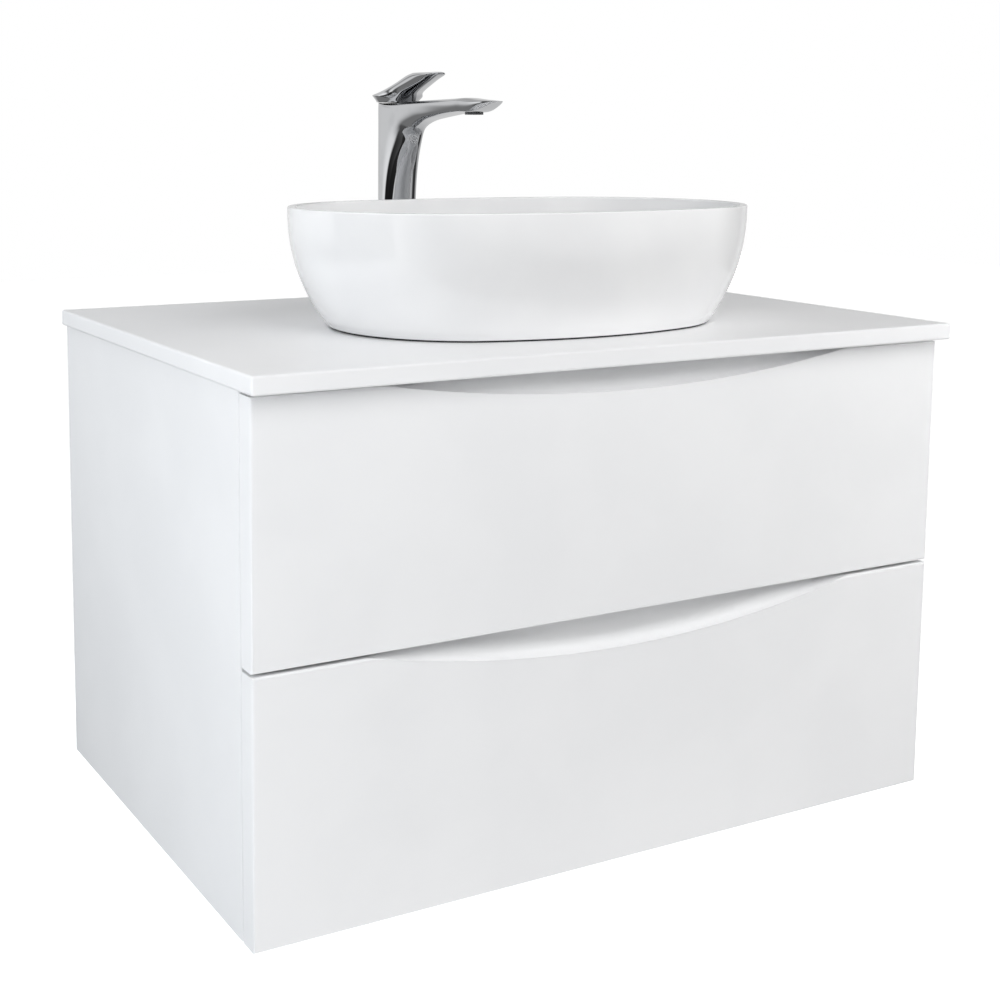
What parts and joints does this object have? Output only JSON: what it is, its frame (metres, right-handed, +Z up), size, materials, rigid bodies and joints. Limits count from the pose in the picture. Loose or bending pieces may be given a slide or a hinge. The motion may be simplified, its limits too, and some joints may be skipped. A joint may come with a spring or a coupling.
{
  "type": "vessel sink on vanity",
  "caption": "Wall-hung white vanity cabinet with scooped drawer fronts, a thin worktop, an oval vessel basin and a tall single-lever mixer tap.",
  "frame": {"origin": "on the wall plane, midway between the wall screws, at their height", "axes": "+Z up, +Y into the wall, +X to the right for someone facing the cabinet"},
  "size_m": [0.75, 0.5, 0.727],
  "materials": {
    "white_lacquer": "satin white lacquer on board",
    "worktop_white": "satin white",
    "carcass_board": "white melamine",
    "drawer_board": "light grey melamine",
    "zinc_steel": "bright zinc",
    "basin_glaze": "white gloss glaze",
    "black_rubber": "matt",
    "tap_chrome": "polished",
    "plain_brass": "machined",
    "aerator_plastic": "matt grey",
    "cartridge_plastic": "matt",
    "trap_plastic": "white moulding"
  },
  "bodies": {
    "cabinet": {"aerator": "aerator_plastic", "basin": "basin_glaze", "basin_seal": "black_rubber", "bottom_panel": "carcass_board", "cartridge": "cartridge_plastic", "cartridge_nut": "plain_brass", "corner_brackets": "zinc_steel", "drain_body": "tap_chrome", "drain_gasket": "black_rubber", "drain_nut": "trap_plastic", "drawer_bumpers": "black_rubber", "front_top_rail": "carcass_board", "hanger_plates": "zinc_steel", "hanging_rail": "carcass_board", "left_side_panel": "white_lacquer", "lower_back_rail": "carcass_board", "lower_left_cabinet_runner": "zinc_steel", "lower_right_cabinet_runner": "zinc_steel", "outlet_pipe": "trap_plastic", "right_side_panel": "white_lacquer", "tap_body": "tap_chrome", "tap_clamp": "plain_brass", "tap_gasket": "black_rubber", "tap_nut": "plain_brass", "tap_shank": "plain_brass", "trap_body": "trap_plastic", "trap_cup": "trap_plastic", "trap_dip_tube": "trap_plastic", "trap_inlet_nut": "trap_plastic", "trap_outlet_nut": "trap_plastic", "trap_top_nut": "trap_plastic", "upper_left_cabinet_runner": "zinc_steel", "upper_right_cabinet_runner": "zinc_steel", "worktop": "worktop_white"},
    "upper_drawer": {"upper_drawer_front": "white_lacquer", "upper_drawer_left_side": "drawer_board", "upper_drawer_right_side": "drawer_board", "upper_drawer_bottom": "drawer_board", "upper_drawer_back": "drawer_board", "upper_front_brackets": "zinc_steel", "upper_left_drawer_runner": "zinc_steel", "upper_right_drawer_runner": "zinc_steel", "trap_notch_wall": "drawer_board"},
    "upper_runner_middle": {"upper_left_middle_runner": "zinc_steel", "upper_right_middle_runner": "zinc_steel"},
    "lower_drawer": {"lower_drawer_front": "white_lacquer", "lower_drawer_left_side": "drawer_board", "lower_drawer_right_side": "drawer_board", "lower_drawer_bottom": "drawer_board", "lower_drawer_back": "drawer_board", "lower_front_brackets": "zinc_steel", "lower_left_drawer_runner": "zinc_steel", "lower_right_drawer_runner": "zinc_steel"},
    "lower_runner_middle": {"lower_left_middle_runner": "zinc_steel", "lower_right_middle_runner": "zinc_steel"},
    "tap_spindle": {"cartridge_spindle": "plain_brass", "lever_pin": "plain_brass"},
    "tap_lever": {"lever": "tap_chrome"},
    "waste_plug": {"drain_plug": "tap_chrome"}
  },
  "joints": [
    {"name": "upper_drawer_slide", "type": "slide", "parent": "cabinet", "child": "upper_drawer", "axis": [0, -1, 0], "range_m": [0, 0.35]},
    {"name": "upper_runner_slide", "type": "slide", "parent": "cabinet", "child": "upper_runner_middle", "axis": [0, -1, 0], "range_m": [0, 0.175]},
    {"name": "lower_drawer_slide", "type": "slide", "parent": "cabinet", "child": "lower_drawer", "axis": [0, -1, 0], "range_m": [0, 0.35]},
    {"name": "lower_runner_slide", "type": "slide", "parent": "cabinet", "child": "lower_runner_middle", "axis": [0, -1, 0], "range_m": [0, 0.175]},
    {"name": "lever_turn", "type": "hinge", "parent": "cabinet", "child": "tap_spindle", "pos_m": [0, -0.038, 0.291], "axis": [0, 0, 1], "range_deg": [-45, 45]},
    {"name": "lever_lift", "type": "hinge", "parent": "tap_spindle", "child": "tap_lever", "pos_m": [0, -0.038, 0.291], "axis": [-1, 0, 0], "range_deg": [0, 18]},
    {"name": "plug_lift", "type": "slide", "parent": "cabinet", "child": "waste_plug", "axis": [0, 0, 1], "range_m": [0, 0.008]}
  ],
  "couplings": [
    {"joint": "upper_runner_slide", "follows": "upper_drawer_slide", "ratio": 0.5},
    {"joint": "lower_runner_slide", "follows": "lower_drawer_slide", "ratio": 0.5}
  ]
}
